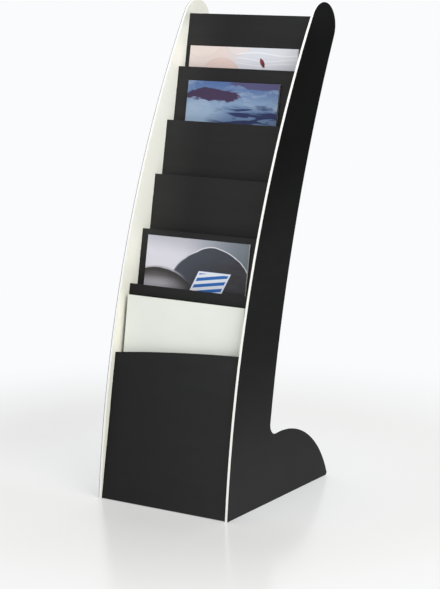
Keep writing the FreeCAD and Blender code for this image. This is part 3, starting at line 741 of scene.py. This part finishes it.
class HOLDER_OT_side_boards(bpy.types.Operator):
    """Finishes the six sheets of the side boards"""

    bl_idname = "holder.side_boards"
    bl_label = "Side Boards"

    def execute(self, context):
        for side in ("left", "right"):
            for sheet, slot in (("core", "white_core"), ("inner_laminate", "ivory_laminate")):
                node = frame["nodes"][f"{side}_{sheet}"]
                node.data.materials.clear()
                node.data.materials.append(material(slot))
            name = f"{side}_outer_laminate"
            mesh = evaluated_mesh(name, merged_copy(name), rounding=settings("board").laminate_rounding)
            mesh.materials.append(material("black_laminate"))
            mark_edges(mesh)
            show(f"{side}_outer_sheet", mesh, "stand", "black_laminate", name)
        return {"FINISHED"}


class HOLDER_OT_front_panel(bpy.types.Operator):
    """Builds the front panel with its curved top edge"""

    bl_idname = "holder.front_panel"
    bl_label = "Front Panel"

    def execute(self, context):
        mesh = evaluated_mesh("front_panel", merged_copy("front_panel"),
                              rounding=settings("board").edge_rounding)
        mesh.materials.append(material("black_panel"))
        mark_edges(mesh)
        show("front_board", mesh, "stand", "black_panel", "front_panel")
        return {"FINISHED"}


class HOLDER_OT_boards(bpy.types.Operator):
    """Builds the pocket panels, pocket floors, base board and rear rail, with their tabs"""

    bl_idname = "holder.boards"
    bl_label = "Panels and Floors"

    def execute(self, context):
        board = settings("board")
        one_tab, two_tabs = board_tree(1), board_tree(2)
        ends = [board.low_tab, board.high_tab]
        for node in sorted(frame["nodes"]):
            if node.startswith("pocket_panel") or node == "rear_rail":
                lean = PANEL_LEAN if node != "rear_rail" else 0.0
                place, size, thickness = upright_place(node, lean)
                start, turn = -size, -lean
            elif node.startswith("pocket_floor") or node == "base_board":
                lean = PANEL_LEAN if node != "base_board" else 0.0
                place, size, thickness = flat_place(node, lean)
                start, turn = 0.0, -math.pi / 2 - lean
            else:
                continue
            if node.startswith("pocket_floor"):
                tree, middles, tab = one_tab, [0.5], board.floor_tab * size
            elif node == "rear_rail":
                tree, middles, tab = one_tab, [0.5], board.rail_tab
            else:
                tree, middles, tab = two_tabs, ends, board.tab_length
            inputs = {"Half Width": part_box("right_inner_laminate")[0].x, "Tab Reach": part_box(node)[1].x,
                      "Start": start, "Length": size, "Thickness": thickness, "Tab Length": tab,
                      "Turn": turn, "Place": place, "Material": material("black_panel")}
            inputs |= {f"Tab {number} Middle": middle * size
                       for number, middle in enumerate(middles, start=1)}
            mesh = evaluated_mesh(node, bpy.data.meshes.new(node), tree, inputs, board.edge_rounding)
            mark_edges(mesh)
            show(f"{node}_board", mesh, "stand", "black_panel", node)
        return {"FINISHED"}


class HOLDER_OT_printed_matter(bpy.types.Operator):
    """Builds the three brochures and the folder: a folded cover and the sheets inside it"""

    bl_idname = "holder.printed_matter"
    bl_label = "Printed Matter"

    def execute(self, context):
        matter = settings("print")
        stack = page_tree()
        for body, slot, insides, sheet, margin in (
                ("square_brochure", "pale_cover", "pages", matter.cover_sheet, 0.0),
                ("booklet", "blue_cover", "pages", matter.cover_sheet, 0.0),
                ("tall_brochure", "grey_cover", "pages", matter.cover_sheet, 0.0),
                ("folder", "cream_card", "sheets", matter.card, matter.card_margin)):
            lean = FOLDER_LEAN if body == "folder" else PANEL_LEAN
            cover = f"{body}_cover"
            top, height, thickness = upright_place(cover, lean)
            low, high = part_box(cover)
            foot = top - Vector((0.0, math.sin(lean), math.cos(lean))) * height + Vector((low.x, 0.0, 0.0))
            width = high.x - low.x
            mesh = folded_sheet(cover, width, height, thickness, sheet, matter.fold_radius,
                                matter.curl if body != "folder" else matter.curl / 2)
            mesh.transform(Matrix.Translation(foot) @ Matrix.Rotation(-lean, 4, "X"))
            mesh.materials.append(material(slot))
            mesh.materials.append(material("page_paper" if body != "folder" else slot))
            show(f"{body}_folded_cover", mesh, body, slot, cover)
            depth = thickness - 2 * sheet
            spine = matter.fold_radius + matter.stray
            inputs = {"Left": spine, "Width": width - spine - margin,
                      "Height": height - margin, "Front": sheet, "Depth": depth,
                      "Sheets": round(depth / matter.page_pitch), "Stray": matter.stray, "Seed": matter.seed,
                      "Turn": -lean, "Place": foot,
                      "Material": material("page_paper" if body != "booklet" else "dark_paper")}
            pages = evaluated_mesh(f"{body}_{insides}", bpy.data.meshes.new(body), stack, inputs)
            show(f"{body}_stack", pages, body, "page_paper", f"{body}_{insides}")
        return {"FINISHED"}


class HOLDER_OT_studio(bpy.types.Operator):
    """Sets the floor, backdrop, lamps and camera"""

    bl_idname = "holder.studio"
    bl_label = "Studio"

    def execute(self, context):
        studio = settings("studio")
        self.make_floor(studio)
        self.make_world(studio)
        self.make_lamp("key_lamp", (2.8, -1.3, 2.0), aim=(0.0, 0.0, 0.4), size=2.6, power=studio.key_power)
        self.make_lamp("top_lamp", (0.0, -0.3, 4.0), aim=(0.0, 0.0, 0.0), size=4.0, power=studio.top_power)
        self.make_camera(studio)
        context.scene.view_settings.view_transform = "Standard"
        return {"FINISHED"}

    def make_floor(self, studio):
        """A plain floor that turns into the backdrop away from the holder. Near the holder a painted glow
        lightens its shadow, most beside and behind it.
        """
        mesh = bpy.data.meshes.new("floor")
        reach, drop = 30.0, 0.0002
        corners = ((-reach, -reach), (reach, -reach), (reach, reach), (-reach, reach))
        mesh.from_pydata([(x, y, -drop) for x, y in corners], [], [(0, 1, 2, 3)])
        floor = bpy.data.objects.new("floor", mesh)
        bpy.context.scene.collection.objects.link(floor)
        finish, tree, shader, place = new_material("floor", ior=1.45, roughness=0.20)
        cloud = noise(tree, place, 3.0)
        tint = blend(tree, cloud.step(0.2, 0.8), scaled(studio.floor_grey, 0.99), list(studio.floor_grey))
        tree.links.new(tint, shader.inputs["Base Color"])
        middle = (-0.05, 0.05, 0.0)
        away = Field(tree, add_node(tree, "ShaderNodeVectorMath", {0: place, 1: middle},
                                    operation="DISTANCE").outputs["Value"])
        depth = Field(tree, add_node(tree, "ShaderNodeSeparateXYZ", {0: place}).outputs[1])
        # Painted light: beside and behind the holder, nearly half of what the camera sees of the floor is
        # glow, which lightens the holder's shadow.
        near = (away.step(0.55, 0.20) * depth.step(-0.25, -0.09)).spread(0.12, 0.47)
        far = away.step(0.36, 0.92).spread(near, 1.0) * backdrop_seen(tree)
        glow = add_node(tree, "ShaderNodeEmission", {"Color": (*studio.backdrop, 1.0)}).outputs[0]
        mixed = add_node(tree, "ShaderNodeMixShader", {0: far, 1: shader.outputs[0], 2: glow}).outputs[0]
        tree.links.new(mixed, tree.nodes["Material Output"].inputs["Surface"])
        mesh.materials.append(finish)

    def make_world(self, studio):
        """Even light from all sides and more from the back left, behind a backdrop that lights nothing."""
        world = bpy.data.worlds.new("studio")
        world.use_nodes = True
        tree = world.node_tree
        even = tree.nodes["Background"]
        even.inputs["Color"].default_value = (1.0, 1.0, 1.0, 1.0)
        toward = add_node(tree, "ShaderNodeTexCoord").outputs["Generated"]
        back_left = (-0.74, 0.62, 0.26)
        behind = add_node(tree, "ShaderNodeVectorMath", {0: toward, 1: back_left},
                          operation="DOT_PRODUCT").outputs["Value"]
        strength = Field(tree, behind).step(0.1, 1.0) * studio.back_sky + studio.sky
        tree.links.new(strength.socket, even.inputs["Strength"])
        white = add_node(tree, "ShaderNodeBackground", {"Color": (*studio.backdrop, 1.0), "Strength": 1.0})
        mixed = add_node(tree, "ShaderNodeMixShader", {0: backdrop_seen(tree), 1: even.outputs[0],
                                                       2: white.outputs[0]}).outputs[0]
        tree.links.new(mixed, tree.nodes["World Output"].inputs["Surface"])
        bpy.context.scene.world = world

    def make_lamp(self, name, place, aim, size, power):
        data = bpy.data.lights.new(name, "AREA")
        data.shape, data.size, data.energy = "DISK", size, power
        lamp = bpy.data.objects.new(name, data)
        lamp.location = place
        lamp.rotation_euler = (Vector(aim) - lamp.location).to_track_quat("-Z", "Y").to_euler()
        bpy.context.scene.collection.objects.link(lamp)

    def make_camera(self, studio):
        data = bpy.data.cameras.new("camera")
        data.sensor_width, data.lens = 36.0, studio.lens
        camera = bpy.data.objects.new("camera", data)
        camera.location = studio.place
        camera.rotation_euler = Euler((math.pi / 2 - studio.elevation, 0.0, studio.azimuth))
        bpy.context.scene.collection.objects.link(camera)
        bpy.context.scene.camera = camera


class HOLDER_PT_panel(bpy.types.Panel):
    """Lists the holder's settings and its steps in the order in which they run"""

    bl_label = "Brochure Holder"
    bl_idname = "HOLDER_PT_panel"
    bl_space_type = "VIEW_3D"
    bl_region_type = "UI"
    bl_category = "Holder"

    def draw(self, context):
        for group in GROUPS:
            box = self.layout.box()
            part = getattr(context.scene, f"holder_{GROUPS[group]}")
            for name in group.__annotations__:
                box.prop(part, name)
        for step in OPERATORS:
            self.layout.operator(step.bl_idname)


GROUPS = {BoardSettings: "board", PrintSettings: "print", StudioSettings: "studio"}
OPERATORS = (HOLDER_OT_side_boards, HOLDER_OT_front_panel, HOLDER_OT_boards, HOLDER_OT_printed_matter,
             HOLDER_OT_studio)


def register():
    for group, part in GROUPS.items():
        bpy.utils.register_class(group)
        setattr(bpy.types.Scene, f"holder_{part}", PointerProperty(type=group))
    for kind in (*OPERATORS, HOLDER_PT_panel):
        bpy.utils.register_class(kind)


def unregister():
    for kind in (HOLDER_PT_panel, *reversed(OPERATORS)):
        bpy.utils.unregister_class(kind)
    for group, part in reversed(GROUPS.items()):
        delattr(bpy.types.Scene, f"holder_{part}")
        bpy.utils.unregister_class(group)


def main():
    register()
    for step in OPERATORS:
        area, name = step.bl_idname.split(".")
        getattr(getattr(bpy.ops, area), name)()


if __name__ == "__main__":
    main()
